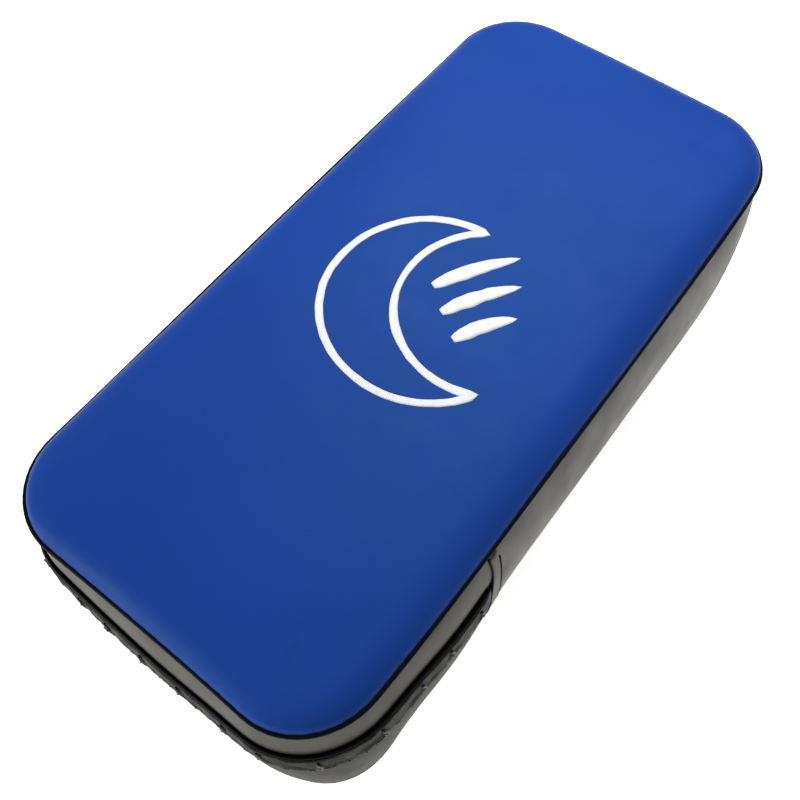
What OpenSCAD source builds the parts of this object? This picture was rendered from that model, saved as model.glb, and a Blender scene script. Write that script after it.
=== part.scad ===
// Kick pad: a rectangular foam cushion in a stitched cover, with a padded hand
// grip and two hook-and-loop forearm straps on its back. It lies face up on
// its two closed straps. +X runs across the pad, +Y towards the hand grip end.

/* [Cushion] */
// Length of the striking face, seam to seam
pad_l = 362; // [330:1:400]
// Width of the striking face, seam to seam
pad_w = 170; // [160:1:200]
// Corner radius of the striking face
corner_r = 34; // [28:1:40]
// Height of the side wall, face seam to back seam
wall_h = 70; // [64:1:84]
// How far the side wall bulges past the face seam
bulge = 7.5; // [6:0.5:12]
// Depth below the face seam at which the side wall is widest
bulge_depth = 42; // [40:1:50]
// Rise of the striking face above its seam, and its shoulder radius
crown = 10; // [7:0.5:12]
// Thickness of the cover material
cover_t = 1.5; // [1:0.1:2]
// Radius of the piping in both seams
piping_r = 1.6; // [1.2:0.1:2]

/* [Laced end] */
// Distance from the middle of the pad to where the laced closure starts
closure_y = 76; // [70:1:100]
// Depth of the hem's upper edge below the face seam
hem_top = 17; // [15:1:26]
// Width of the folded hem strip
hem_w = 11; // [9:1:16]
// Spacing of the lacing knots
knot_pitch = 21; // [18:1:28]
// Radius of a lacing knot
knot_r = 1.5; // [1:0.1:1.6]

/* [Printed mark] */
// Radius of the printed crescent
mark_r = 49; // [44:1:50]
// Radius of the crescent's opening
mark_open_r = 40; // [36:1:40]
// Width of the printed line
mark_line = 3.4; // [2:0.2:4]

/* [Back] */
// Height of the back panel above the surface that the straps rest on
back_z = 56; // [52:1:64]
// Width of a forearm strap
strap_w = 50; // [40:1:56]
// Thickness of a forearm strap
strap_t = 3; // [2.4:0.2:3.4]
// Thickness of the hook patch and of the loop patch
patch_t = 1.2; // [0.8:0.1:1.4]
// Place of the upper forearm strap along the pad
upper_y = 35; // [25:1:45]
// Place of the lower forearm strap along the pad
lower_y = -95; // [-110:1:-85]
// Place of the hand grip along the pad
grip_y = 120; // [114:1:130]
// Diameter of the padded hand grip
grip_d = 24; // [20:1:26]
// Length of the padded hand grip
grip_l = 104; // [96:1:110]

/* [Hidden] */
$fn = 96;
wall_fn = 480;

blue = [0.13, 0.28, 0.60];
black = [0.16, 0.16, 0.16];
gloss_black = [0.06, 0.06, 0.06];
grey_foam = [0.55, 0.56, 0.58];
cream_foam = [0.86, 0.83, 0.72];
white = [0.95, 0.95, 0.95];

fit = 0.05;                         // clearance between pieces sewn together
seam_gap = 0.2;                     // clearance of the panels from the piping
loose = 0.3;                        // clearance between pieces that move apart
face_z = back_z + wall_h;           // height of the face seam
top_z = face_z + crown;             // height of the striking face
wall_r = (bulge_depth * bulge_depth + bulge * bulge) / (2 * bulge);
wall_cu = bulge - wall_r;           // centre of the side wall's arc
wall_cz = face_z - bulge_depth;
wall_top = piping_r / 2;            // depths between which the side wall lies
wall_bottom = wall_h - piping_r;
straight_x = pad_w / 2 - corner_r;  // half of the outline's straight stretches
straight_y = pad_l / 2 - corner_r;

// Offset of the side wall's surface from the face seam at a given depth
function wall_u(depth) = wall_cu + sqrt(pow(wall_r, 2) - pow(depth - bulge_depth, 2));

back_u = wall_u(wall_h);            // offset of the back seam
hem_bottom = hem_top + hem_w;
band_split = (hem_top + hem_bottom) / 2;
trim_t = 1.2;                       // thickness of hem and tabs
tab_y0 = -closure_y - 5;
tab_y1 = -closure_y + 7;
tab_top = 4;                        // distance of the tabs from the two seams
face_foam_d = 6;                    // depth of the face foam below the seam
back_foam_t = 12;
stitch_r = 0.7;
stitch_l = 7;
knot_depth = hem_bottom + 2;
knot_u = wall_u(hem_bottom) + trim_t + fit + stitch_r + fit;
// Outline from the middle of the laced end to a tab, and the knots that fit on it
lace_half = straight_x + (corner_r + knot_u) * PI / 2 + straight_y + tab_y0;
knots_each_side = floor((lace_half - 5) / knot_pitch);

mark_at = [3, -7];
mark_open_at = [23, 14];            // middle of the crescent's opening
mark_dashes = [[-3, 12, 36], [8, 3, 32], [20, -5, 24]];   // start and length of each dash
dash_turn = 58;
dash_w = 6.4;
print_t = 0.3;

root_x = pad_w / 2 + back_u - 2.5;  // where the straps leave the back seam
root_z = back_z - 2.2;
bend_x = 56;                        // where the straps turn under the forearm
tongue_z = strap_t / 2;
tongue_end = 46;
knuckle_gap = 0.6;
flap_z = strap_t + 2 * patch_t + loose + strap_t / 2;
flap_end = -12;
anchor_x0 = 64;
anchor_x1 = 80;
anchor_t = 1.2;
plan_r = 10;                        // corner radius of strap ends and patches
hook_x0 = -20;
hook_x1 = 40;
loop_x0 = -8;
loop_x1 = 46;
patch_w = strap_w - 8;

web_w = 22;                         // width of the grip's webbing
web_t = 3;
web_out_x = 74;                     // the webbing's middle at the pivot
handle_patch_t = 1.5;
handle_patch_l = 30;
pivot_z = back_z - handle_patch_t - 0.5 - web_w / 2;
grip_gap = 2;                       // free height under the hanging grip
grip_z = grip_gap + grip_d / 2;
core_d = 14;

// ---- outline sweeps: children are drawn as offset from the seam and height

module side_run(y0, y1) {
  translate([pad_w / 2, y1, 0])
    rotate([90, 0, 0])
      linear_extrude(y1 - y0)
        children();
}

module end_run() {
  rotate([0, 0, 90])
    translate([pad_l / 2, straight_x, 0])
      rotate([90, 0, 0])
        linear_extrude(2 * straight_x)
          children();
}

module corner_run() {
  translate([straight_x, straight_y, 0])
    rotate_extrude(angle = 90)
      translate([corner_r, 0])
        children();
}

module both_sides() {
  children();
  mirror([1, 0, 0])
    children();
}

module loop_run() {
  both_sides() {
    side_run(-straight_y, straight_y)
      children();
    corner_run()
      children();
    mirror([0, 1, 0])
      corner_run()
        children();
  }
  end_run()
    children();
  mirror([0, 1, 0])
    end_run()
      children();
}

// From the closure round the hand grip end
module top_run() {
  both_sides() {
    side_run(-closure_y, straight_y)
      children();
    corner_run()
      children();
  }
  end_run()
    children();
}

// From a line on the right side round the laced end to the same on the left
module laced_run(start_y) {
  both_sides() {
    side_run(-straight_y, start_y)
      children();
    mirror([0, 1, 0])
      corner_run()
        children();
  }
  mirror([0, 1, 0])
    end_run()
      children();
}

module middle_block(z0, z1) {
  translate([-straight_x, -straight_y, z0])
    cube([2 * straight_x, 2 * straight_y, z1 - z0]);
}

// ---- profiles

module band_window(depth0, depth1) {
  translate([-corner_r, face_z - depth1])
    square([corner_r + 2 * bulge, depth1 - depth0]);
}

module wall_layer(inner, thick, depth0, depth1) {
  intersection() {
    translate([wall_cu, wall_cz])
      difference() {
        circle(wall_r + inner + thick, $fn = wall_fn);
        circle(wall_r + inner, $fn = wall_fn);
      }
    band_window(depth0, depth1);
  }
}

module piping_dots(clear) {
  translate([0, face_z])
    circle(piping_r + clear);
  translate([back_u, back_z + piping_r])
    circle(piping_r + clear);
}

module wall_profile(depth0, depth1) {
  difference() {
    wall_layer(-cover_t, cover_t, depth0, depth1);
    piping_dots(seam_gap);
  }
}

// Region below the striking face, moved in by a margin
module face_region(margin) {
  intersection() {
    union() {
      translate([-corner_r, face_z])
        square([corner_r - crown, crown - margin]);
      translate([-crown, face_z])
        circle(crown - margin);
    }
    translate([-corner_r, face_z])
      square([corner_r, crown]);
  }
}

module face_profile() {
  difference() {
    face_region(0);
    face_region(cover_t);
    piping_dots(seam_gap);
  }
}

module foam_profile(depth0, depth1) {
  intersection() {
    translate([wall_cu, wall_cz])
      circle(wall_r - cover_t - 4 * fit, $fn = wall_fn);
    band_window(depth0, depth1);
  }
}

// A straight link with rounded ends, between two points
module link(a, b, t) {
  run = norm(b - a);
  turn = atan2(b[1] - a[1], b[0] - a[0]);
  translate(a)
    rotate(turn)
      translate([0, -t / 2])
        square([run, t]);
  translate(a)
    circle(t / 2);
  translate(b)
    circle(t / 2);
}

// A rectangle in plan with its far end rounded
module plan_end(x0, x1, w, r) {
  translate([x0, -w / 2])
    square([x1 - r - x0, w]);
  translate([x1 - r - 0.01, -w / 2 + r])
    square([r + 0.01, w - 2 * r]);
  for (side = [-1, 1])
    translate([x1 - r, side * (w / 2 - r)])
      circle(r);
}

module plan_patch(x0, x1, w, r) {
  translate([x0 + r, -w / 2])
    square([x1 - x0 - 2 * r, w]);
  translate([x0, -w / 2 + r])
    square([x1 - x0, w - 2 * r]);
  for (cx = [x0 + r, x1 - r], cy = [-w / 2 + r, w / 2 - r])
    translate([cx, cy])
      circle(r);
}

// ---- cushion cover

module face_panel() {
  color(blue) {
    loop_run()
      face_profile();
    middle_block(top_z - cover_t, top_z);
  }
}

// The outlined crescent's plan, moved in by an inset
module crescent(inset) {
  difference() {
    circle(mark_r - inset);
    translate(mark_open_at)
      circle(mark_open_r + inset);
  }
}

// A plain outlined crescent with three brush dashes in its opening
module face_emblem() {
  color(white)
    translate([mark_at[0], mark_at[1], top_z])
      linear_extrude(print_t) {
        difference() {
          crescent(0);
          crescent(mark_line);
        }
        for (dash = mark_dashes)
          translate([dash[0], dash[1]])
            rotate(dash_turn)
              link([0, 0], [dash[2], 0], dash_w);
      }
}

module face_piping() {
  color(gloss_black)
    loop_run()
      translate([0, face_z])
        circle(piping_r);
}

module gusset_main() {
  color(black)
    top_run()
      wall_profile(wall_top, wall_bottom);
}

module gusset_end_upper() {
  color(black)
    laced_run(-closure_y - fit)
      wall_profile(wall_top, band_split - fit);
}

module gusset_end_lower() {
  color(black)
    laced_run(-closure_y - fit)
      wall_profile(band_split, wall_bottom);
}

module closure_hem() {
  color(gloss_black)
    laced_run(tab_y0 - fit)
      wall_layer(fit, trim_t, hem_top, hem_bottom);
}

module closure_tab() {
  color(black)
    side_run(tab_y0, tab_y1)
      wall_layer(fit, trim_t, tab_top, wall_h - tab_top);
}

module closure_tab_left() {
  mirror([1, 0, 0])
    closure_tab();
}

module closure_tab_right() {
  closure_tab();
}

// Places a child on the outline of the laced end, a given way from its middle
module on_laced_end(along, out) {
  r = corner_r + out;
  arc_l = r * PI / 2;
  past = along - straight_x;
  turn = past <= 0 ? -90 : past <= arc_l ? -90 + past / r * 180 / PI : 0;
  cx = min(along, straight_x);
  cy = -straight_y + max(0, past - arc_l);
  translate([cx, cy, 0])
    rotate([0, 0, turn])
      translate([r, 0, 0])
        children();
}

module knot() {
  translate([0, 0, face_z - knot_depth])
    sphere(knot_r);
  translate([0, 0, face_z - knot_depth])
    cylinder(r = stitch_r, h = stitch_l);
}

module closure_lace() {
  color(gloss_black) {
    on_laced_end(0, knot_u)
      knot();
    both_sides()
      for (i = [1 : knots_each_side])
        on_laced_end(i * knot_pitch, knot_u)
          knot();
  }
}

module back_piping() {
  color(gloss_black)
    loop_run()
      translate([back_u, back_z + piping_r])
        circle(piping_r);
}

module back_panel() {
  color(black) {
    loop_run()
      translate([-corner_r, back_z])
        difference() {
          square([corner_r + back_u, cover_t]);
          translate([corner_r + back_u, piping_r])
            circle(piping_r + seam_gap);
        }
    middle_block(back_z, back_z + cover_t);
  }
}

// ---- foam layers inside the cover

module foam_face_layer() {
  color(grey_foam) {
    loop_run() {
      face_region(cover_t + 4 * fit);
      translate([-corner_r, face_z - face_foam_d])
        square([corner_r - piping_r - 4 * fit, face_foam_d]);
    }
    middle_block(face_z - face_foam_d, top_z - cover_t - 4 * fit);
  }
}

module foam_core() {
  low = wall_h - cover_t - back_foam_t - 2 * fit;
  color(cream_foam) {
    loop_run()
      difference() {
        foam_profile(face_foam_d + fit, low);
        piping_dots(fit);
      }
    middle_block(face_z - low, face_z - face_foam_d - fit);
  }
}

module foam_back_layer() {
  low = wall_h - cover_t - fit;
  color(grey_foam) {
    loop_run()
      difference() {
        foam_profile(low - back_foam_t, low);
        piping_dots(fit);
      }
    middle_block(face_z - low, face_z - low + back_foam_t);
  }
}

// ---- hand grip

module handle_patch_right() {
  color(black)
    translate([anchor_x0, grip_y, back_z - handle_patch_t])
      linear_extrude(handle_patch_t)
        plan_patch(0, handle_patch_l - 5, handle_patch_l, 4);
}

module handle_patch_left() {
  mirror([1, 0, 0])
    handle_patch_right();
}

// Slanted webbing whose upper end is round about the swing axis
module handle_web_right() {
  foot_x = grip_l / 2 + 2 * fit;
  foot_z = grip_z - web_t / 2;
  slant = atan2(pivot_z - grip_z, web_out_x - foot_x);
  side_t = web_t / sin(slant);
  head_z = pivot_z + web_w / 2;
  reach = (head_z - foot_z) / tan(slant);
  color(black)
    translate([0, grip_y, 0])
      intersection() {
        translate([0, web_w / 2, 0])
          rotate([90, 0, 0])
            linear_extrude(web_w)
              polygon([
                [foot_x, foot_z],
                [foot_x + side_t, foot_z],
                [foot_x + side_t + reach, head_z],
                [foot_x + reach, head_z]
              ]);
        rotate([90, 0, 90])
          linear_extrude(pad_w) {
            translate([0, pivot_z])
              circle(web_w / 2);
            translate([-web_w / 2, 0])
              square([web_w, pivot_z]);
          }
      }
}

module handle_web_left() {
  mirror([1, 0, 0])
    handle_web_right();
}

module handle_core() {
  color(cream_foam)
    translate([-grip_l / 2, grip_y, grip_z])
      rotate([0, 90, 0])
        cylinder(d = core_d - 4 * fit, h = grip_l);
}

module handle_grip() {
  color(black)
    translate([-grip_l / 2, grip_y, grip_z])
      rotate([0, 90, 0])
        difference() {
          cylinder(d = grip_d, h = grip_l);
          translate([0, 0, -1])
            cylinder(d = core_d, h = grip_l + 2);
        }
}

// ---- forearm straps, drawn about Y = 0

module anchor() {
  color(black)
    translate([0, 0, back_z - anchor_t])
      linear_extrude(anchor_t)
        plan_patch(anchor_x0, anchor_x1, strap_w + 6, 3);
}

module strap_riser() {
  color(black)
    translate([0, strap_w / 2, 0])
      rotate([90, 0, 0])
        linear_extrude(strap_w)
          link([-root_x, root_z], [-bend_x, tongue_z], strap_t);
}

module strap_tongue() {
  color(black)
    difference() {
      linear_extrude(strap_t)
        plan_end(-bend_x, tongue_end, strap_w, plan_r);
      translate([-bend_x, strap_w, tongue_z])
        rotate([90, 0, 0])
          cylinder(r = strap_t / 2 + knuckle_gap, h = 2 * strap_w);
    }
}

module hook_patch() {
  color(gloss_black)
    translate([0, 0, strap_t])
      linear_extrude(patch_t)
        plan_patch(hook_x0, hook_x1, patch_w, 3);
}

module strap_stub() {
  color(black)
    intersection() {
      translate([0, strap_w / 2, 0])
        rotate([90, 0, 0])
          linear_extrude(strap_w) {
            link([root_x, root_z], [bend_x, flap_z], strap_t);
            translate([flap_end, flap_z - strap_t / 2])
              square([bend_x - flap_end, strap_t]);
          }
      linear_extrude(back_z)
        mirror([1, 0, 0])
          plan_end(-pad_w, -flap_end, strap_w, plan_r);
    }
}

module loop_patch() {
  color(gloss_black)
    translate([0, 0, flap_z - strap_t / 2 - patch_t])
      linear_extrude(patch_t)
        plan_patch(loop_x0, loop_x1, patch_w, 3);
}

module at_upper() {
  translate([0, upper_y, 0])
    children();
}

module at_lower() {
  translate([0, lower_y, 0])
    children();
}

module upper_anchor_left() {
  at_upper()
    mirror([1, 0, 0])
      anchor();
}

module upper_anchor_right() {
  at_upper()
    anchor();
}

module upper_strap_riser() {
  at_upper()
    strap_riser();
}

module upper_strap_tongue() {
  at_upper()
    strap_tongue();
}

module upper_hook_patch() {
  at_upper()
    hook_patch();
}

module upper_strap_stub() {
  at_upper()
    strap_stub();
}

module upper_loop_patch() {
  at_upper()
    loop_patch();
}

module lower_anchor_left() {
  at_lower()
    mirror([1, 0, 0])
      anchor();
}

module lower_anchor_right() {
  at_lower()
    anchor();
}

module lower_strap_riser() {
  at_lower()
    strap_riser();
}

module lower_strap_tongue() {
  at_lower()
    strap_tongue();
}

module lower_hook_patch() {
  at_lower()
    hook_patch();
}

module lower_strap_stub() {
  at_lower()
    strap_stub();
}

module lower_loop_patch() {
  at_lower()
    loop_patch();
}

face_panel();
face_emblem();
face_piping();
gusset_main();
gusset_end_upper();
gusset_end_lower();
closure_hem();
closure_lace();
closure_tab_left();
closure_tab_right();
back_piping();
back_panel();
foam_face_layer();
foam_core();
foam_back_layer();
handle_patch_left();
handle_patch_right();
handle_web_left();
handle_web_right();
handle_core();
handle_grip();
upper_anchor_left();
upper_anchor_right();
upper_strap_riser();
upper_strap_tongue();
upper_hook_patch();
upper_strap_stub();
upper_loop_patch();
lower_anchor_left();
lower_anchor_right();
lower_strap_riser();
lower_strap_tongue();
lower_hook_patch();
lower_strap_stub();
lower_loop_patch();
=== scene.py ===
import random
from math import acos, atan2, ceil, cos, exp, hypot, pi, radians, sin, sqrt

import bmesh
import bpy
import numpy as np
from mathutils import Matrix, Vector, noise
from mathutils.bvhtree import BVHTree


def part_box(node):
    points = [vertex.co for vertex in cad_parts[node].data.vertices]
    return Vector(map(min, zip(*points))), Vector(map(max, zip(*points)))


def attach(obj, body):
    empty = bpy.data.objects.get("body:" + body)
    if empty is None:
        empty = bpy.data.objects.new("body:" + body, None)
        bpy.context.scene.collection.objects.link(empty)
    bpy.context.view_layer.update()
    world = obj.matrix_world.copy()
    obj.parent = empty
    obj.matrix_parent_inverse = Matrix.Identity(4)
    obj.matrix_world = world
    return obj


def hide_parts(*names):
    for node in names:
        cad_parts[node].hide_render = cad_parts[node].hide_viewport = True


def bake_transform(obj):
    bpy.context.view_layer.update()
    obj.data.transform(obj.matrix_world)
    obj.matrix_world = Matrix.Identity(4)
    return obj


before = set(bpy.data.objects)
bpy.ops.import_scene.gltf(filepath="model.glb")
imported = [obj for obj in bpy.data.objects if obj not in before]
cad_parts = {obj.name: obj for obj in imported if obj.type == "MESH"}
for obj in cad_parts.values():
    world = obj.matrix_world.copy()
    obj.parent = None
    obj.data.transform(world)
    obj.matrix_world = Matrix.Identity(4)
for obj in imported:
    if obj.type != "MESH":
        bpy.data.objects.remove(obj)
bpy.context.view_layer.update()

MM = 0.001
rng = random.Random(11)

# ---- dimensions, read from the frame ----

piping_lo, piping_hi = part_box("face_piping")
PIPING_R = (piping_hi.z - piping_lo.z) / 2
HALF_W = piping_hi.x - PIPING_R
HALF_L = piping_hi.y - PIPING_R
SEAM_Z = (piping_hi.z + piping_lo.z) / 2
back_lo, back_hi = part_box("back_piping")
BACK_OUT = back_hi.x - PIPING_R - HALF_W
BACK_SEAM_Z = (back_lo.z + back_hi.z) / 2
TOP_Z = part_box("face_panel")[1].z
BACK_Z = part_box("back_panel")[0].z
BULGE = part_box("gusset_main")[1].x - HALF_W
CLOSURE_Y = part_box("gusset_end_upper")[1].y
HEM_TOP = SEAM_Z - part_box("closure_hem")[1].z
HEM_BOTTOM = SEAM_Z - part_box("closure_hem")[0].z

WALL_H = SEAM_Z - BACK_Z
BACK_SEAM_DEPTH = SEAM_Z - BACK_SEAM_Z
BULGE_DEPTH = 0.6 * WALL_H          # where the side wall is widest
WALL_R = (BULGE_DEPTH ** 2 + BULGE ** 2) / (2 * BULGE)
CORNER_R = 0.4 * HALF_W
FLAT_X = HALF_W - CORNER_R          # half of the outline's straight stretches
FLAT_Y = HALF_L - CORNER_R
HEM_MID = (HEM_TOP + HEM_BOTTOM) / 2
ARC = CORNER_R * pi / 2
LACED_HALF = FLAT_X + ARC + FLAT_Y + CLOSURE_Y   # outline from the end's middle to the closure
KNOTS_EACH_SIDE = 8
KNOT_PITCH = (LACED_HALF - 15 * MM) / KNOTS_EACH_SIDE


def smoothstep(a, b, x):
    t = min(1.0, max(0.0, (x - a) / (b - a)))
    return t * t * (3 - 2 * t)


def noise_at(x, y, z):
    return noise.noise(Vector((x, y, z)))


SIDE_BOW = 1.1 * MM                 # the stuffed sides bow out between the corners
LOW_BOW = 0.8 * MM                  # and so do they at the back, on the +X side
CORNER_X = FLAT_X + 0.7 * CORNER_R
CORNER_Y = FLAT_Y + 0.7 * CORNER_R
# where the hand-sewn cover is pulled off its drawn outline: place, shift (mm) at the face seam,
# shift at the back, how late on the way down the second takes over, and how far the pull reaches
PULLS = ((CORNER_X, CORNER_Y, (-2.1, -0.8), (-10.5, -10.0), 0.6, 34 * MM),
         (-CORNER_X, CORNER_Y, (-0.5, -0.6), (0.8, -0.8), 1.0, 34 * MM),
         (-CORNER_X, -CORNER_Y, (-0.7, -0.7), (10.2, 6.0), 0.6, 34 * MM),
         (CORNER_X, -CORNER_Y, (-1.6, -1.4), (5.4, -2.6), 2.2, 34 * MM),
         (HALF_W, -108 * MM, (0, 0), (2.8, 0), 0.5, 26 * MM),
         (8 * MM, -HALF_L, (0, 0), (0, -1.9), 0.5, 30 * MM))


def wall_out(depth):
    """Offset of the side wall from the face seam at a depth below it."""
    return BULGE - WALL_R + sqrt(WALL_R ** 2 - (depth - BULGE_DEPTH) ** 2)


def settle(p):
    """Where a point of the drawn cushion lies once the hand-sewn cover is stuffed."""
    x, y, z = p
    high = smoothstep(BACK_Z, SEAM_Z, z)
    depth = max(0.0, (SEAM_Z - z) / WALL_H)
    bow = SIDE_BOW * high + LOW_BOW * (1 - high) * (x > 0)
    dx = bow * max(0.0, 1 - (y / HALF_L) ** 2) * x / HALF_W
    dy = 0.0
    for cx, cy, top, low, lateness, reach in PULLS:
        sunk = depth ** lateness
        near = MM * exp(-((x - cx) ** 2 + (y - cy) ** 2) / reach ** 2)
        dx += near * (top[0] + (low[0] - top[0]) * sunk)
        dy += near * (top[1] + (low[1] - top[1]) * sunk)
    return Vector((x + dx, y + dy, z))


def settle_mesh(obj):
    for v in obj.data.vertices:
        v.co = settle(v.co)
    obj.data.update()


# ---- camera, light and floor ----

def add_object(name, data):
    obj = bpy.data.objects.new(name, data)
    bpy.context.scene.collection.objects.link(obj)
    return obj


# where the camera stands, in pad lengths from the middle of the face seam, and how it is turned
CAMERA_PLACE = Vector((0.35136, -0.51737, 0.94077))
CAMERA_AHEAD = Vector((-0.28527, 0.36702, -0.88539))
CAMERA_UP = Vector((-0.53657, 0.70429, 0.46483))


def make_camera():
    data = bpy.data.cameras.new("camera")
    data.lens = 40.95
    data.sensor_width = 36
    data.dof.use_dof = False
    camera = add_object("camera", data)
    place = CAMERA_PLACE * (2 * HALF_L) + Vector((0, 0, SEAM_Z))
    ahead = CAMERA_AHEAD.normalized()
    right = ahead.cross(CAMERA_UP).normalized()
    turn = Matrix((right, right.cross(ahead), -ahead)).transposed().to_4x4()
    camera.matrix_world = Matrix.Translation(place) @ turn
    bpy.context.scene.camera = camera


def area_light(name, place, aim, size, power):
    data = bpy.data.lights.new(name, "AREA")
    data.shape = "SQUARE"
    data.size = size
    data.energy = power
    light = add_object(name, data)
    light.location = place
    light.rotation_euler = (Vector(aim) - Vector(place)).to_track_quat("-Z", "Y").to_euler()


def make_studio():
    world = bpy.data.worlds.new("studio")
    world.use_nodes = True
    background = world.node_tree.nodes["Background"]
    background.inputs["Color"].default_value = (1, 1, 1, 1)
    background.inputs["Strength"].default_value = 0.14
    bpy.context.scene.world = world
    bpy.context.scene.view_settings.view_transform = "Standard"
    middle = (0, 0, SEAM_Z)
    area_light("over", (-0.09, 0.25, 0.61), middle, 0.45, 3.55)
    area_light("end", (-0.6, -1.2, 0.42), middle, 0.5, 10)

    bm = bmesh.new()
    bmesh.ops.create_grid(bm, x_segments=24, y_segments=24, size=3.0)
    mesh = bpy.data.meshes.new("floor")
    bm.to_mesh(mesh)
    bm.free()
    mesh.materials.append(floor_material())
    mesh.shade_smooth()
    floor = add_object("floor", mesh)


# ---- mesh helpers ----

def mesh_from(name, points, faces, material=None):
    mesh = bpy.data.meshes.new(name)
    mesh.from_pydata([tuple(p) for p in points], [], faces)
    mesh.validate()
    mesh.shade_smooth()
    if material:
        mesh.materials.append(material)
    return add_object(name, mesh)


def apply_modifiers(obj):
    """Replaces the object's mesh with its evaluated mesh."""
    graph = bpy.context.evaluated_depsgraph_get()
    made = bpy.data.meshes.new_from_object(obj.evaluated_get(graph))
    old = obj.data
    obj.modifiers.clear()
    obj.data = made
    made.name = obj.name
    if old.users == 0:
        bpy.data.meshes.remove(old)


def subdivide(obj):
    mod = obj.modifiers.new("smooth", "SUBSURF")
    mod.levels = 1
    mod.render_levels = 1
    mod.boundary_smooth = "PRESERVE_CORNERS"
    apply_modifiers(obj)
    obj.data.shade_smooth()


def fix_normals(obj):
    bm = bmesh.new()
    bm.from_mesh(obj.data)
    bmesh.ops.recalc_face_normals(bm, faces=bm.faces)
    bm.to_mesh(obj.data)
    bm.free()


def circle(count):
    """Cosine and sine of evenly spaced angles."""
    angles = [2 * pi * k / count for k in range(count)]
    return [(cos(a), sin(a)) for a in angles]


def skin_faces(rings, count, base=0, closed=False):
    """The faces of a skin over rings of points, with caps at its ends unless it is closed."""
    faces = []
    for i in range(rings if closed else rings - 1):
        a, b = base + i * count, base + (i + 1) % rings * count
        for j in range(count):
            k = (j + 1) % count
            faces.append((a + j, a + k, b + k, b + j))
    if not closed:
        last = base + (rings - 1) * count
        faces.append(tuple(base + j for j in range(count - 1, -1, -1)))
        faces.append(tuple(last + j for j in range(count)))
    return faces


def loft(name, sections, material, closed=False, uv=None):
    """A skin through sections, each a closed loop of the same number of points."""
    count = len(sections[0])
    points = [p for section in sections for p in section]
    faces = skin_faces(len(sections), count, closed=closed)
    obj = mesh_from(name, points, faces, material)
    fix_normals(obj)
    if uv:
        layer = obj.data.uv_layers.new(name="along")
        for loop in obj.data.loops:
            i, j = divmod(loop.vertex_index, count)
            layer.data[loop.index].uv = uv(i, j)
    return obj


def ahead_at(points, i, closed=False):
    """The direction of a path at one of its points."""
    before = points[i - 1] if (i or closed) else points[i]
    after = points[(i + 1) % len(points)] if (i < len(points) - 1 or closed) else points[i]
    return (after - before).normalized()


def tube(name, points, radius, material, sides=8, closed=False, up=Vector((0, 0, 1))):
    """A round tube along points; radius is a number or a function of the point's index."""
    points = [Vector(p) for p in points]
    sections = []
    run = 0.0
    runs = []
    for i, p in enumerate(points):
        tangent = ahead_at(points, i, closed)
        side = tangent.cross(up)
        side = side.normalized() if side.length > 1e-4 else Vector((1, 0, 0))
        top = side.cross(tangent).normalized()
        r = radius(i) if callable(radius) else radius
        sections.append([p + side * (r * c) + top * (r * s) for c, s in circle(sides)])
        run += (p - points[i - 1]).length if i else 0
        runs.append(run)
    around = 2 * pi * (radius(0) if callable(radius) else radius)
    return loft(name, sections, material, closed, lambda i, j: (runs[i], around * j / sides))


def join(name, objects):
    """Joins objects into the first one, keeping every material."""
    bpy.ops.object.select_all(action="DESELECT")
    for obj in objects:
        obj.select_set(True)
    bpy.context.view_layer.objects.active = objects[0]
    bpy.ops.object.join()
    objects[0].name = name
    objects[0].data.name = name
    return objects[0]


# ---- materials ----

class Nodes:
    """A short way to build a node material. Values are constants or other nodes' outputs."""

    def __init__(self, name, colour, roughness, specular=0.5):
        self.material = bpy.data.materials.new(name)
        self.material.use_nodes = True
        self.tree = self.material.node_tree
        self.shader = self.tree.nodes["Principled BSDF"]
        self.set("Base Color", (*colour, 1))
        self.set("Roughness", roughness)
        self.set("Specular IOR Level", specular)

    def feed(self, socket, value):
        if isinstance(value, bpy.types.NodeSocket):
            self.tree.links.new(value, socket)
        else:
            socket.default_value = value

    def set(self, socket, value):
        self.feed(self.shader.inputs[socket], value)

    def node(self, kind, **values):
        made = self.tree.nodes.new("ShaderNode" + kind)
        for key, value in values.items():
            if key in made.inputs:
                self.feed(made.inputs[key], value)
            else:
                setattr(made, key, value)
        return made

    def coordinates(self, kind="Object"):
        return self.node("TexCoord").outputs[kind]

    def noise(self, place, scale, detail=3.0, rough=0.5):
        made = self.node("TexNoise", Vector=place, Scale=scale, Detail=detail, Roughness=rough)
        return made.outputs["Fac"]

    def wave(self, place, direction, scale):
        made = self.node("TexWave", bands_direction=direction, Vector=place, Scale=scale)
        return made.outputs["Fac"]

    def cells(self, place, scale, smooth=0.6):
        made = self.node("TexVoronoi", feature="SMOOTH_F1", Vector=place, Scale=scale)
        made.inputs["Smoothness"].default_value = smooth
        return made.outputs["Distance"]

    def remap(self, value, low, high, to_low, to_high):
        made = self.node("MapRange", Value=value)
        for socket, number in zip(("From Min", "From Max", "To Min", "To Max"),
                                  (low, high, to_low, to_high)):
            made.inputs[socket].default_value = number
        return made.outputs["Result"]

    def math(self, operation, a, b):
        made = self.node("Math", operation=operation)
        self.feed(made.inputs[0], a)
        self.feed(made.inputs[1], b)
        return made.outputs["Value"]

    def mix(self, factor, colour_a, colour_b):
        made = self.node("Mix", data_type="RGBA", Factor=factor)
        self.feed(made.inputs[6], colour_a)
        self.feed(made.inputs[7], colour_b)
        return made.outputs[2]

    def bump(self, height, distance, strength=1.0, under=None):
        made = self.node("Bump", Height=height, Strength=strength, Distance=distance)
        if under is not None:
            self.feed(made.inputs["Normal"], under)
        self.set("Normal", made.outputs["Normal"])
        return made.outputs["Normal"]


def scaled(colour, factor):
    return tuple(min(1.0, c * factor) for c in colour[:3]) + (1,)


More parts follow.
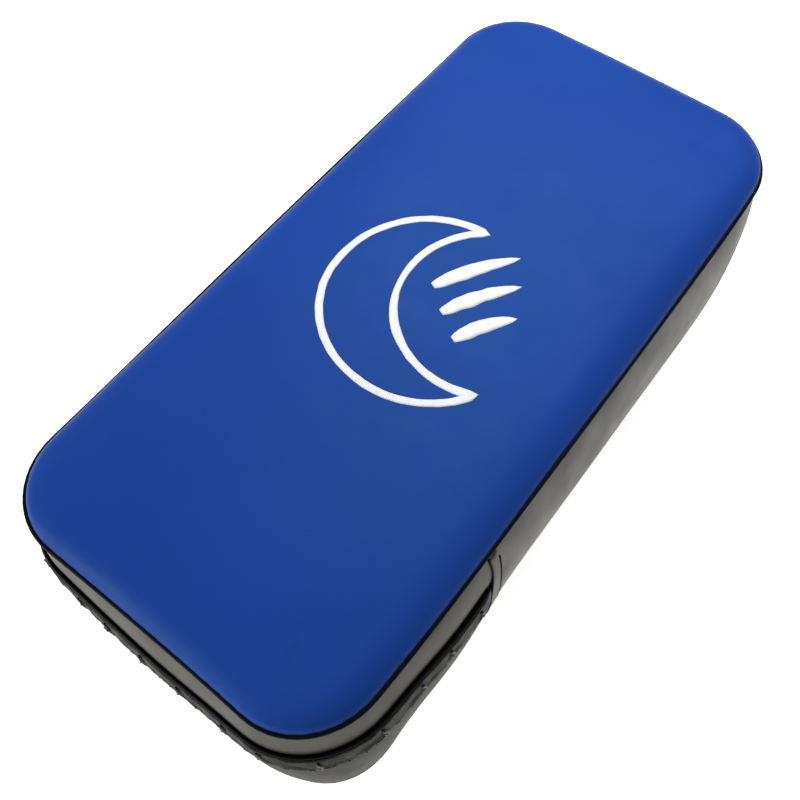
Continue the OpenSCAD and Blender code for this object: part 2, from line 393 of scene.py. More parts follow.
def coated_fabric(name, colour, roughness, grain=1.0, variation=0.08, specular=0.5,
                  sheen=0.0, worn=0.25, tint=(1, 1, 1)):
    """Synthetic leather: pebbled grain, soft blotches and paler worn edges."""
    m = Nodes(name, colour, roughness, specular)
    place = m.coordinates()
    blotch = m.noise(place, 9, 4)
    base = m.mix(m.remap(blotch, 0.35, 0.65, 0, 1),
                 scaled(colour, 1 - variation), scaled(colour, 1 + variation))
    edge = m.node("NewGeometry").outputs["Pointiness"]
    wear = m.remap(edge, 0.505, 0.54, 0, worn)
    base = m.mix(wear, base, scaled(colour, 1.7))
    m.set("Base Color", base)
    fine = m.noise(place, 2300, 2)
    rough = m.remap(m.noise(place, 60, 3), 0.3, 0.7, roughness - 0.05, roughness + 0.06)
    m.set("Roughness", rough)
    pebble = m.cells(place, 1250)
    height = m.math("ADD", pebble, m.math("MULTIPLY", fine, 0.35))
    creases = m.bump(m.noise(place, 260, 5, 0.6), 0.00012 * grain, 0.5)
    m.bump(height, 0.00006 * grain, 0.8, creases)
    m.set("Sheen Weight", sheen)
    m.set("Sheen Roughness", 0.4)
    m.set("Specular Tint", (*tint, 1))
    return m.material


def piping_material():
    m = Nodes("piping_cover", (0.004, 0.005, 0.008), 0.5, 0.04)
    place = m.coordinates()
    blotch = m.noise(place, 120, 3)
    m.set("Base Color", m.mix(blotch, (0.002, 0.003, 0.005, 1), (0.006, 0.007, 0.011, 1)))
    m.bump(m.noise(place, 900, 3), 0.0001, 0.7)
    return m.material


def print_material():
    """Screen print: matt white ink, a little thin and crackled."""
    m = Nodes("white_print", (0.82, 0.84, 0.86), 0.55, 0.35)
    place = m.coordinates()
    thin = m.remap(m.noise(place, 420, 5, 0.7), 0.30, 0.42, 0, 1)
    m.set("Base Color", m.mix(thin, (0.60, 0.66, 0.78, 1), (0.86, 0.87, 0.88, 1)))
    m.bump(m.noise(place, 1600, 3), 0.00005, 0.6)
    return m.material


def thread_material(name, colour, kind="UV", gloss=0.2):
    m = Nodes(name, colour, 0.45, gloss)
    twist = m.wave(m.coordinates(kind), "DIAGONAL", 420)
    m.set("Base Color", m.mix(twist, scaled(colour, 0.6), scaled(colour, 1.8)))
    m.bump(twist, 0.0002, 0.8)
    m.set("Sheen Weight", 0.2)
    return m.material


def webbing_material():
    """Ribbed strap weave that follows the strap's own length and width."""
    colour = (0.018, 0.018, 0.019)
    m = Nodes("strap_weave", colour, 0.62, 0.35)
    place = m.coordinates("UV")
    weave = m.math("MULTIPLY", m.wave(place, "X", 150), m.wave(place, "Y", 190))
    blotch = m.noise(m.coordinates(), 40, 4)
    base = m.mix(weave, scaled(colour, 0.5), scaled(colour, 2.4))
    base = m.mix(m.remap(blotch, 0.4, 0.7, 0, 0.35), base, scaled(colour, 2.6))
    m.set("Base Color", base)
    fuzz = m.bump(m.noise(m.coordinates(), 1800, 2), 0.00008, 0.6)
    m.bump(weave, 0.0003, 0.8, fuzz)
    m.set("Sheen Weight", 0.25)
    return m.material


def tape_material(name, colour, cell, depth, sheen):
    """Hook tape or loop tape: rows of small hooks, or a fine pile."""
    m = Nodes(name, colour, 0.75, 0.3)
    place = m.coordinates()
    dots = m.cells(place, cell, 0.2)
    m.set("Base Color", m.mix(m.remap(dots, 0.1, 0.7, 0, 1), scaled(colour, 2.6), scaled(colour, 0.5)))
    pile = m.bump(m.noise(place, 2400, 3), 0.0002, 0.7)
    m.bump(m.remap(dots, 0.1, 0.7, 1, 0), depth, 0.9, pile)
    m.set("Sheen Weight", sheen)
    return m.material


def foam_material(name, colour, cell):
    m = Nodes(name, colour, 0.9, 0.2)
    holes = m.cells(m.coordinates(), cell, 0.1)
    m.set("Base Color", m.mix(holes, scaled(colour, 1.1), scaled(colour, 0.7)))
    m.bump(holes, 0.0006, 0.8)
    return m.material


def floor_material():
    m = Nodes("pale_floor", (0.93, 0.93, 0.925), 0.75, 0.2)
    place = m.coordinates()
    m.set("Base Color", m.mix(m.noise(place, 3, 2), (0.92, 0.92, 0.915, 1), (0.94, 0.94, 0.935, 1)))
    m.set("Emission Color", (1, 1, 1, 1))
    m.set("Emission Strength", 0.86)
    return m.material


BLUE = coated_fabric("blue_cover", (0.0135, 0.0573, 0.318), 0.42, grain=0.7,
                     variation=0.05, specular=0.075, worn=0.0, tint=(0.35, 1.0, 0.6))
BLACK = coated_fabric("black_cover", (0.036, 0.035, 0.030), 0.45, grain=1.1,
                      variation=0.10, specular=0.35, tint=(1.0, 0.94, 0.68))
# a copy of the black cover with weaker reflection: painted shade on the laced end's lower band
SHADED_BLACK = coated_fabric("shaded_black_cover", (0.036, 0.035, 0.030), 0.50, grain=1.4,
                           variation=0.10, specular=0.105, tint=(1.0, 0.94, 0.74))
GLOSS = coated_fabric("gloss_trim", (0.007, 0.007, 0.0055), 0.44, grain=4.0,
                      variation=0.2, specular=0.075, tint=(1.0, 0.94, 0.76))
PIPING = piping_material()
PRINT = print_material()
LACE = thread_material("lace_cord", (0.006, 0.006, 0.006), gloss=0.45)
THREAD = thread_material("sewing_thread", (0.035, 0.035, 0.036), "Object")
WEAVE = webbing_material()
GRIP = coated_fabric("grip_cover", (0.022, 0.022, 0.022), 0.42, grain=1.4,
                     variation=0.15, specular=0.5, sheen=0.1)
HOOK = tape_material("hook_tape", (0.014, 0.014, 0.015), 750, 0.0007, 0.1)
LOOP_TAPE = tape_material("loop_tape", (0.022, 0.022, 0.023), 1300, 0.0003, 0.5)
FIRM_FOAM = foam_material("firm_foam", (0.30, 0.31, 0.33), 900)
SOFT_FOAM = foam_material("soft_foam", (0.75, 0.70, 0.52), 500)

make_camera()
make_studio()

# ---- the cushion's cover ----

# mesh steps along a side up to the closure and past it, along an end and round a corner
LOW_STEPS, HIGH_STEPS, END_STEPS, CORNER_STEPS = 16, 58, 26, 14
SIDE_STEPS = LOW_STEPS + HIGH_STEPS
# rings of the cover: in from the face seam, down the wall and in from the back seam
FACE_INSETS = [x * MM for x in (31, 27, 22.5, 18.5, 15, 12, 9.5, 7.2, 5.2, 3.4, 2, 0.9, 0)]
UPPER_DEPTHS = [x * MM for x in (1.5, 4, 7, 10, 13, 16, 19)] + [HEM_MID]
LOWER_DEPTHS = [x * MM for x in (26, 30, 34, 38, 42, 46, 50, 54, 58, 61.5, 64.5, 67)]
LOWER_DEPTHS.append(BACK_SEAM_DEPTH)
BACK_INSETS = [x * MM for x in (1.2, 3, 6, 10, 15, 21, 28, 35)]
BACK_RISE = 0.4 * MM
FACE, UPPER, LOWER, BACK, MAIN = range(5)       # the cover's panels
SHOULDER_W = 13 * MM
SHOULDER_RISE = 0.78 * (TOP_Z - SEAM_Z)


def outline():
    """Base points, outward normals and grid cells, counterclockwise from the lower right."""
    ys = np.concatenate([np.linspace(-FLAT_Y, CLOSURE_Y, LOW_STEPS + 1),
                         np.linspace(CLOSURE_Y, FLAT_Y, HIGH_STEPS + 1)[1:]])
    xs = np.linspace(-FLAT_X, FLAT_X, END_STEPS + 1)
    rows = []

    def corner(sx, sy, start):
        cell = (END_STEPS if sx > 0 else 0, SIDE_STEPS if sy > 0 else 0)
        for k in range(1, CORNER_STEPS):
            a = radians(start + 90 * k / CORNER_STEPS)
            rows.append(((sx * FLAT_X, sy * FLAT_Y), (cos(a), sin(a)), cell))

    for j in range(SIDE_STEPS + 1):
        rows.append(((FLAT_X, ys[j]), (1, 0), (END_STEPS, j)))
    corner(1, 1, 0)
    for i in range(END_STEPS, -1, -1):
        rows.append(((xs[i], FLAT_Y), (0, 1), (i, SIDE_STEPS)))
    corner(-1, 1, 90)
    for j in range(SIDE_STEPS, -1, -1):
        rows.append(((-FLAT_X, ys[j]), (-1, 0), (0, j)))
    corner(-1, -1, 180)
    for i in range(END_STEPS + 1):
        rows.append(((xs[i], -FLAT_Y), (0, -1), (i, 0)))
    corner(1, -1, 270)
    return rows, xs, ys


OUTLINE, GRID_X, GRID_Y = outline()
LOOP = len(OUTLINE)
RIGHT_CLOSURE = LOW_STEPS
LEFT_CLOSURE = OUTLINE.index(((-FLAT_X, CLOSURE_Y), (-1, 0), (0, LOW_STEPS)))


def in_laced_part(j):
    return j < RIGHT_CLOSURE or j >= LEFT_CLOSURE


def ring_at(out, z):
    """The outline moved out from the face seam (or in, if negative), as an array of points."""
    r = CORNER_R + out
    return np.array([(b[0] + n[0] * r, b[1] + n[1] * r, z) for b, n, _ in OUTLINE])


def crown_at(x, y):
    share = (1 - (x / HALF_W) ** 2) * (1 - (y / HALF_L) ** 2)
    return (TOP_Z - SEAM_Z - SHOULDER_RISE) * np.clip(share, 0, 1)


def face_ring(inset):
    points = ring_at(-inset, SEAM_Z)
    t = min(1.0, inset / SHOULDER_W)
    points[:, 2] += SHOULDER_RISE * (1 - (1 - t) ** 2.2) ** 0.5
    points[:, 2] += crown_at(points[:, 0], points[:, 1])
    return points


def wall_ring(depth):
    """The side wall, tucked in behind the hem where the two laced flaps meet."""
    points = ring_at(wall_out(depth), SEAM_Z - depth)
    tuck = 1.6 * MM * exp(-((depth - HEM_MID) / (5 * MM)) ** 2)
    for j, (_, n, _) in enumerate(OUTLINE):
        if in_laced_part(j) or j == RIGHT_CLOSURE:
            points[j, 0] -= n[0] * tuck
            points[j, 1] -= n[1] * tuck
    return points


def grid_points(height):
    return [(x, y, height(x, y)) for y in GRID_Y for x in GRID_X]


def grid_index(cell):
    return cell[1] * (END_STEPS + 1) + cell[0]


def cover_mesh():
    """The whole cover as one closed mesh, its panels marked.

    Returns the object and the vertices that are sewn down."""
    rings = [(face_ring(d), FACE) for d in FACE_INSETS]
    seam = len(rings) - 1
    rings += [(wall_ring(d), UPPER) for d in UPPER_DEPTHS]
    hem = len(rings) - 1
    rings += [(wall_ring(d), LOWER) for d in LOWER_DEPTHS]
    back_seam = len(rings) - 1
    for d in BACK_INSETS:
        rise = BACK_RISE * smoothstep(0, 12 * MM, d)
        rings.append((ring_at(BACK_OUT - d, BACK_Z + rise), BACK))

    verts = grid_points(lambda x, y: SEAM_Z + SHOULDER_RISE + crown_at(x, y))
    first = len(verts)
    for points, _ in rings:
        verts.extend(points)
    bottom = len(verts)
    verts.extend(grid_points(lambda x, y: BACK_Z + BACK_RISE))

    faces, panels = [], []

    def add(face, panel):
        faces.append(face)
        panels.append(panel)

    def add_grid(start, panel, flip):
        for j in range(SIDE_STEPS):
            for i in range(END_STEPS):
                a = start + grid_index((i, j))
                b = start + grid_index((i, j + 1))
                quad = (a, a + 1, b + 1, b)
                add(quad[::-1] if flip else quad, panel)

    def add_rim(start, ring, panel, flip):
        for j in range(LOOP):
            k = (j + 1) % LOOP
            a = start + grid_index(OUTLINE[j][2])
            b = start + grid_index(OUTLINE[k][2])
            face = (a, ring + j, ring + k) if a == b else (a, ring + j, ring + k, b)
            add(face[::-1] if flip else face, panel)

    add_grid(0, FACE, False)
    add_rim(0, first, FACE, False)
    for i, (_, panel) in enumerate(rings[1:]):
        a, b = first + i * LOOP, first + (i + 1) * LOOP
        for j in range(LOOP):
            k = (j + 1) % LOOP
            whole = panel in (UPPER, LOWER) and not in_laced_part(j)
            add((a + j, b + j, b + k, a + k), MAIN if whole else panel)
    add_rim(bottom, first + (len(rings) - 1) * LOOP, BACK, True)
    add_grid(bottom, BACK, True)

    obj = mesh_from("cover", verts, faces)
    mark = obj.data.attributes.new("panel", "INT", "FACE")
    mark.data.foreach_set("value", panels)
    sewn = set()
    for ring in (seam, back_seam):
        sewn.update(first + ring * LOOP + j for j in range(LOOP))
    sewn.update(first + hem * LOOP + j for j in range(LOOP) if in_laced_part(j))
    for ring in range(seam, back_seam):
        sewn.update(first + ring * LOOP + j for j in (RIGHT_CLOSURE, LEFT_CLOSURE))
    return obj, sorted(sewn)


SWELLING = dict(vertex_group_mass="sewn", use_pressure=True, uniform_pressure_force=4, quality=4,
                tension_stiffness=25, compression_stiffness=25, bending_stiffness=5)
SWELL_FRAMES = 20
SWELL_CAP = 2.2 * MM
EVEN_ROUNDS = 70
BACK_ROOM = 0.2         # the share of its swelling that the back keeps, as it carries the straps


def soft_cap(moves):
    """Shortens moves smoothly, so that none is longer than the cap."""
    length = np.linalg.norm(moves, axis=1, keepdims=True)
    return moves * (SWELL_CAP / (SWELL_CAP + length))


def even_moves(obj, moves, sewn):
    """Evens out moves between neighbouring points, with the seams held still."""
    edges = np.array([e.vertices for e in obj.data.edges])
    ends = np.concatenate([edges, edges[:, ::-1]])
    count = np.bincount(ends[:, 0], minlength=len(moves))[:, None]
    moves[sewn] = 0
    for _ in range(EVEN_ROUNDS):
        total = np.zeros_like(moves)
        np.add.at(total, ends[:, 0], moves[ends[:, 1]])
        moves = 0.4 * moves + 0.6 * total / count
        moves[sewn] = 0
    return moves


def inflate(obj, sewn):
    """Swells the cover between its seams with Cloth, and keeps the result."""
    group = obj.vertex_groups.new(name="sewn")
    group.add(sewn, 1.0, "REPLACE")
    scene = bpy.context.scene
    rest = np.array([v.co for v in obj.data.vertices])
    cloth = obj.modifiers.new("cloth", "CLOTH")
    cloth.settings.effector_weights.gravity = 0
    for key, value in SWELLING.items():
        setattr(cloth.settings, key, value)
    cloth.point_cache.frame_start = 1
    cloth.point_cache.frame_end = SWELL_FRAMES
    for number in range(1, SWELL_FRAMES + 1):
        scene.frame_set(number)
    graph = bpy.context.evaluated_depsgraph_get()
    swollen = obj.evaluated_get(graph).data
    moved = even_moves(obj, np.array([v.co for v in swollen.vertices]) - rest, sewn)
    obj.modifiers.clear()
    obj.vertex_groups.clear()
    scene.frame_set(1)
    room = np.where(rest[:, 2] < BACK_Z + 1.5 * MM, BACK_ROOM, 1.0)
    placed = rest + soft_cap(moved) * room[:, None]
    obj.data.vertices.foreach_set("co", placed.ravel())
    obj.data.update()


def panel_of(cover, panel, name):
    """One sewn panel, cut out of the cover and given the thickness of its material."""
    obj = cover.copy()
    obj.data = cover.data.copy()
    obj.name = obj.data.name = name
    bpy.context.scene.collection.objects.link(obj)
    bm = bmesh.new()
    bm.from_mesh(obj.data)
    mark = bm.faces.layers.int["panel"]
    bmesh.ops.delete(bm, geom=[f for f in bm.faces if f[mark] != panel], context="FACES")
    bm.to_mesh(obj.data)
    bm.free()
    skin = obj.modifiers.new("skin", "SOLIDIFY")
    skin.thickness = COVER_T
    skin.offset = -1
    apply_modifiers(obj)
    obj.data.attributes.remove(obj.data.attributes["panel"])
    obj.data.shade_smooth()
    return obj


GATHER_DEPTH = 0.11 * MM
GATHER_PITCH = 6.5 * MM
GATHER_W = 4.5 * MM
UNEVEN_SIZE = 70 * MM
COVER_T = 1.3 * MM


def seam_distance(x, y):
    """How far inside the face seam's outline a point lies."""
    qx, qy = abs(x) - FLAT_X, abs(y) - FLAT_Y
    outside = hypot(max(qx, 0), max(qy, 0)) + min(max(qx, qy), 0)
    return CORNER_R - outside


def along_outline(x, y):
    """A length round the outline, for the gathers."""
    ax, ay = abs(x), abs(y)
    if ax > FLAT_X and ay > FLAT_Y:
        angle = atan2(ay - FLAT_Y, ax - FLAT_X)
        return FLAT_Y + angle * CORNER_R
    if ax - FLAT_X > ay - FLAT_Y:
        return ay
    return FLAT_Y + ARC + FLAT_X - ax


def push_out(obj, amount):
    """Moves each vertex along its normal, by a function of its place."""
    vertices = obj.data.vertices
    for v, normal in zip(vertices, [v.normal.copy() for v in vertices]):
        v.co += normal * amount(v.co)
    obj.data.update()


def gather_at(place):
    """Small gathers in the material beside its seams, strongest at the stitches."""
    x, y, z = place
    away = min(abs(z - SEAM_Z), abs(z - BACK_SEAM_Z))
    if abs(z - SEAM_Z) < 12 * MM and seam_distance(x, y) > 0:
        away = hypot(seam_distance(x, y), max(0, z - SEAM_Z) * 0.5)
    strength = exp(-(away / GATHER_W) ** 2)
    if strength < 0.02:
        return 0.0
    wave = sin(2 * pi * along_outline(x, y) / GATHER_PITCH + 2.5 * noise.noise(place * 45))
    uneven = 0.55 + 0.45 * noise.noise(place * 30 + Vector((7, 0, 0)))
    return GATHER_DEPTH * strength * wave * uneven


def unevenness_at(place):
    """Broad unevenness of the stuffed cover, none of it on the back."""
    room = smoothstep(BACK_Z + 1 * MM, BACK_Z + 10 * MM, place.z)
    return 0.5 * MM * room * noise.noise(place / UNEVEN_SIZE)


def make_cover():
    """The cushion's five sewn panels, all cut from one swollen cover."""
    cover, sewn = cover_mesh()
    inflate(cover, sewn)
    push_out(cover, unevenness_at)
    settle_mesh(cover)
    subdivide(cover)
    push_out(cover, gather_at)
    rows = (
        (FACE, "face_cover", BLUE, "blue_cover", "face_panel"),
        (MAIN, "gusset_main_cover", BLACK, "black_cover", "gusset_main"),
        (UPPER, "gusset_upper_cover", BLACK, "black_cover", "gusset_end_upper"),
        # the lower end band gets the black copy that paints shade on it
        (LOWER, "gusset_lower_cover", SHADED_BLACK, "black_cover", "gusset_end_lower"),
        (BACK, "back_cover", BLACK, "black_cover", "back_panel"))
    made = {}
    for panel, name, material, slot, node in rows:
        obj = panel_of(cover, panel, name)
        obj.data.materials.append(material)
        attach(obj, "root")
        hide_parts(node)
        made[name] = obj
    bpy.data.objects.remove(cover)
    return made


# ---- foam inside the cover ----

def foam_slab(name, levels, material, node):
    """A foam layer. Levels are (offset from the face seam, height), from its top down."""
    sections = [ring_at(out, z)[::2] for out, z in levels]
    obj = loft(name, [[settle(p) for p in section] for section in sections], material)
    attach(obj, "root")
    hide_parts(node)


def make_foam():
    """Three layers of foam, a skin's breadth inside the cover."""
    skin = 4.2 * MM
    core_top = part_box("foam_core")[1].z
    core_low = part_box("foam_core")[0].z
    back_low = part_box("foam_back_layer")[0].z
    gap = 0.3 * MM

    def wall_level(z):
        return (wall_out(SEAM_Z - z) - skin, z)

    def steps(top, low, count):
        return [top + (low - top) * k / count for k in range(count + 1)]

    face_levels = [(-22 * MM, TOP_Z - 4.6 * MM), (-15 * MM, TOP_Z - 5.4 * MM)]
    face_levels += [(-10 * MM, TOP_Z - 7.2 * MM), (-6.5 * MM, SEAM_Z), (-6 * MM, core_top + gap)]
    core_levels = [(-9 * MM, core_top - gap)]
    core_levels += [wall_level(z) for z in steps(core_top - 3 * MM, core_low + gap, 9)]
    back_levels = [wall_level(z) for z in steps(core_low - gap, back_low + 5 * MM, 4)]
    back_levels.append((BACK_OUT - skin - 4 * MM, back_low + 1.2 * MM))
    foam_slab("face_foam", face_levels, FIRM_FOAM, "foam_face_layer")
    foam_slab("core_foam", core_levels, SOFT_FOAM, "foam_core")
    foam_slab("back_foam", back_levels, FIRM_FOAM, "foam_back_layer")


# ---- piping in the two seams ----

def make_piping(name, out, z, radius, node):
    """A piping cord round a seam, a little uneven in thickness."""
    points = []
    base = ring_at(out, z)
    for j in range(LOOP):
        a, b = base[j], base[(j + 1) % LOOP]
        steps = max(1, round(np.linalg.norm(b - a) / (1.6 * MM)))
        points.extend(settle(a + (b - a) * k / steps) for k in range(steps))
    swell = [radius * (0.93 + 0.07 * sin(i * 2.1) * noise.noise(p * 60))
             for i, p in enumerate(points)]
    obj = tube(name, points, lambda i: swell[i], PIPING, sides=10, closed=True)
    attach(obj, "root")
    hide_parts(node)


# ---- the laced end ----

def laced_point(along, depth, lift=0.0):
    """A point on the laced end's wall. Along runs from the end's middle, positive to +X."""
    out = wall_out(depth) + lift
    r = CORNER_R + out
    side = 1 if along >= 0 else -1
    past = abs(along) - FLAT_X
    if past <= 0:
        return Vector((along, -FLAT_Y - r, SEAM_Z - depth)), Vector((0, -1, 0))
    turn = min(past / CORNER_R, pi / 2)
    normal = Vector((side * sin(turn), -cos(turn), 0))
    place = Vector((side * FLAT_X, -FLAT_Y + max(0.0, past - ARC), 0)) + normal * r
    place.z = SEAM_Z - depth
    return place, normal


def hem_top(along):
    """The hem's folded upper edge: it rises at the +X corner and drops towards the +X tab."""
    rise = 1.1 * MM * exp(-((along - FLAT_X - ARC / 2) / (32 * MM)) ** 2)
    drop = 3.6 * MM * smoothstep(LACED_HALF - 62 * MM, LACED_HALF - 8 * MM, along)
    return HEM_TOP - rise + drop


def hem_edge(along):
    """The hem's lower edge: it rises a little at each knot and sags between knots."""
    phase = along / KNOT_PITCH
    pull = cos(2 * pi * phase)
    uneven = noise_at(along * 40, 2.0, 0) + 0.5 * noise_at(along * 140, 6, 0)
    return hem_top(along) + HEM_BOTTOM - HEM_TOP - 0.35 * MM * pull + 1.1 * MM * uneven


def make_hem():
    """A glossy folded strip with a wavy lower edge and a rolled upper edge. The upper edge is a
    near-black cord that is partly the real fold and partly painted shade: it stands for the dark
    shadow line above the hem.
    """
    half = LACED_HALF - 7.8 * MM
    steps = round(2 * half / (1.8 * MM))
    sections, fold = [], []
    for i in range(steps + 1):
        along = -half + 2 * half * i / steps
        top, low = hem_top(along), hem_edge(along)
        wave = noise_at(along * 55, 5.0, 0)
        ripple = noise_at(along * 160, 9.0, 0)
        taper = min(1.0, (half - abs(along)) / (6 * MM) + 0.25)
        section = []
        profile = ((0.00, 0.10), (0.02, 1.30), (0.14, 1.75), (0.34, 1.25 + 0.5 * wave),
                   (0.55, 1.45 + 0.6 * wave), (0.76, 1.15 + 0.6 * ripple), (0.90, 1.6),
                   (0.99, 1.2), (1.00, 0.15))
        for share, lift in profile:
            depth = top + (low - top) * share
            crinkle = 0.35 * noise_at(along * 330, share * 4.0, 1.0)
            section.append(laced_point(along, depth, (lift + crinkle) * taper * MM)[0])
        for share in (0.85, 0.5, 0.15):
            depth = top + (low - top) * share
            section.append(laced_point(along, depth, -0.9 * MM)[0])
        sections.append(section)
        fold.append(laced_point(along, top - 0.3 * MM, 0.6 * taper * MM)[0])
    strip = loft("hem_strip", sections, GLOSS)
    # near-black cord on the fold: the real rolled edge plus the painted shadow line beneath it
    edge = tube("hem_fold_shade_line", fold, 0.68 * MM, PIPING)
    hem = join("hem_strip", [strip, edge])
    settle_mesh(hem)
    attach(hem, "root")
    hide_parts("closure_hem")


def knot_path(place, normal, size, turn):
    """A small overhand knot: a trefoil lying against the wall."""
    side = Vector((0, 0, 1)).cross(normal).normalized()
    rise = normal.cross(side)
    points = []
    count = 26
    for k in range(count):
        t = 2 * pi * k / count
        u = sin(t) + 2 * sin(2 * t)
        v = cos(t) - 2 * cos(2 * t)
        w = -sin(3 * t)
        c, s = cos(turn), sin(turn)
        across = (u * c - v * s) * size / 3
        up = (u * s + v * c) * size / 3 * 1.25
        points.append(place + side * across + rise * up + normal * (w * size / 2.6))
    return points


def wall_path(steps, along, depth, lift):
    """Points over the laced end's wall, from functions of the share of the path."""
    shares = [k / steps for k in range(steps + 1)]
    return [laced_point(along(t), depth(t), lift(t))[0] for t in shares]


def make_lace():
    """The lacing: a running stitch under the hem, a knot at every pull and its loose ends."""
    parts = []
    knots = KNOTS_EACH_SIDE
    cord_r = 0.68 * MM
    for number in range(-knots, knots + 1):
        along = number * KNOT_PITCH + rng.uniform(-2.0, 2.0) * MM
        depth = hem_edge(along) - rng.uniform(0.6, 2.2) * MM
        size = rng.uniform(0.9, 1.4) * MM
        place, normal = laced_point(along, depth, size + 0.1 * MM)
        path = knot_path(place, normal, size, rng.uniform(-0.5, 0.5))
        parts.append(tube("knot", path, cord_r, LACE, sides=7, closed=True, up=normal))
        for way in (-1, 1):
            reach = rng.uniform(2.5, 5.5) * MM
            lean = way * rng.uniform(0.2, 1.0)
            tail = wall_path(5, lambda t: along + lean * reach * t,
                             lambda t: depth + reach * t * (0.9 - 0.3 * t),
                             lambda t: (1.5 - 0.9 * t + 0.2 * sin(3 * t)) * MM)
            parts.append(tube("tail", tail, lambda i: cord_r * (1 - 0.06 * i), LACE, sides=6,
                              up=normal))
        pull = wall_path(7, lambda t: along + 0.6 * MM * sin(6 * t),
                         lambda t: depth - 5.5 * MM * t,
                         lambda t: (1.9 - 0.25 * sin(pi * t)) * MM)
        parts.append(tube("pull", pull, cord_r, LACE, sides=6, up=normal))
    span = knots * KNOT_PITCH
    run = []
    steps = round(2 * span / (1.5 * MM))
    for i in range(steps + 1):
        along = -span + 2 * span * i / steps
        phase = 2 * pi * along / (KNOT_PITCH / 3) + 3.0 * noise_at(along * 45, 8, 0)
        depth = hem_edge(along) + (1.3 + 0.5 * sin(phase)) * MM
        run.append(laced_point(along, depth, (0.2 + 0.75 * cos(phase)) * MM)[0])
    parts.append(tube("running", run, 0.7 * MM, LACE, sides=6))
    lace = join("lacing", parts)
    settle_mesh(lace)
    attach(lace, "root")
    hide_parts("closure_lace")


TAB_FADE = 0.8          # how much thinner the folded edges are at their lower ends


def make_tab(name, side, node):
    """The folded end of the main side wall, lapped over the closure's end."""
    low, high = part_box(node)
    top, bottom = SEAM_Z - high.z, SEAM_Z - low.z
    middle = (low.y + high.y) / 2 - 2.5 * MM
    rows, cols = 34, 9
    sections, lines = [], ([], [])
    for i in range(rows + 1):
        t = i / rows
        depth = top * 0.4 + (bottom - top * 0.4) * t
        lean = smoothstep(0.05, 0.5, t)
        bend = (0.3 * sin(7 * t) - 2.9 * lean) * MM
        half = (2.8 + 0.7 * lean) * MM

        def spot(share, lift):
            x = HALF_W + wall_out(depth) + lift
            return Vector((side * x, middle + bend + (2 * share - 1) * half, SEAM_Z - depth))

        ends = smoothstep(0, 0.03, t) * smoothstep(0, 0.03, 1 - t) * 0.9 + 0.1
        section = []
        for k in range(cols + 1):
            s = k / cols
            edge = 4 * s * (1 - s)
            lift = (0.25 + 0.45 * edge ** 0.35 + 0.15 * sin(9 * t + 3 * s)) * MM
            section.append(spot(s, lift * (1 - 0.85 * t) * ends))
        section += [spot(k / cols, -0.9 * MM) for k in range(cols, -1, -1)]
        sections.append(section)
        for share, line in enumerate(lines):
            line.append(spot(share, 0.25 * MM))
    parts = [loft(name, sections, BLACK)]
    for line, size in ((lines[0], 0.62 * MM), (lines[1][3:26], 0.5 * MM)):
        parts.append(tube("tab_edge", line, lambda i: size * (1 - TAB_FADE * i / len(line)), PIPING,
                          sides=6, up=Vector((side, 0, 0))))
    tab = join(name, parts)
    settle_mesh(tab)
    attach(tab, "root")
    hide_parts(node)


# ---- printed mark ----

def ink(name, path, width, surface, lift, closed=False):
    """A printed stroke laid on the face. Width is a function of the share along the path."""
    n = len(path)
    sections = []
    columns = 5
    for i, (x, y) in enumerate(path):
        ax, ay = path[i - 1] if (i or closed) else path[i]
        bx, by = path[(i + 1) % n] if (i < n - 1 or closed) else path[i]
        ahead = Vector((bx - ax, by - ay)).normalized()
        side = Vector((-ahead.y, ahead.x))
        left, right = width(i / n, 1), width(i / n, -1)
        top, low = [], []
        for k in range(columns):
            t = k / (columns - 1)
            across = left * (1 - t) - right * t
            px, py = x + side.x * across, y + side.y * across
            hit = surface.ray_cast(Vector((px, py, 1.0)), Vector((0, 0, -1)))[0]
            edge = 0.5 if k in (0, columns - 1) else 1.0
            top.append(Vector((px, py, hit.z + lift * edge)))
            low.append(Vector((px, py, hit.z - 0.25 * MM)))
        sections.append(top + low[::-1])
    return loft(name, sections, PRINT, closed)


DISC_STEPS = 109        # stretches along the crescent's outer and inner arc
HOLE_STEPS = 59


def moon_outline(r, hole_at, hole_r, inset):
    """The outline of a crescent's printed line: the disc's arc, then the hole's arc back."""
    r, hole_r = r - inset, hole_r + inset
    away = hypot(*hole_at)
    facing = atan2(hole_at[1], hole_at[0])
    half = acos((away ** 2 + r ** 2 - hole_r ** 2) / (2 * away * r))
    hole_half = acos((away ** 2 + hole_r ** 2 - r ** 2) / (2 * away * hole_r))
    path = []
    for k in range(DISC_STEPS + 1):
        a = facing + half + (2 * pi - 2 * half) * k / DISC_STEPS
        path.append((r * cos(a), r * sin(a)))
    for k in range(1, HOLE_STEPS):
        a = facing + pi + hole_half - 2 * hole_half * k / HOLE_STEPS
        path.append((hole_at[0] + hole_r * cos(a), hole_at[1] + hole_r * sin(a)))
    return path


MARK_R = 49 * MM
MARK_OPEN_R = 40 * MM
MARK_LINE = 3.4 * MM


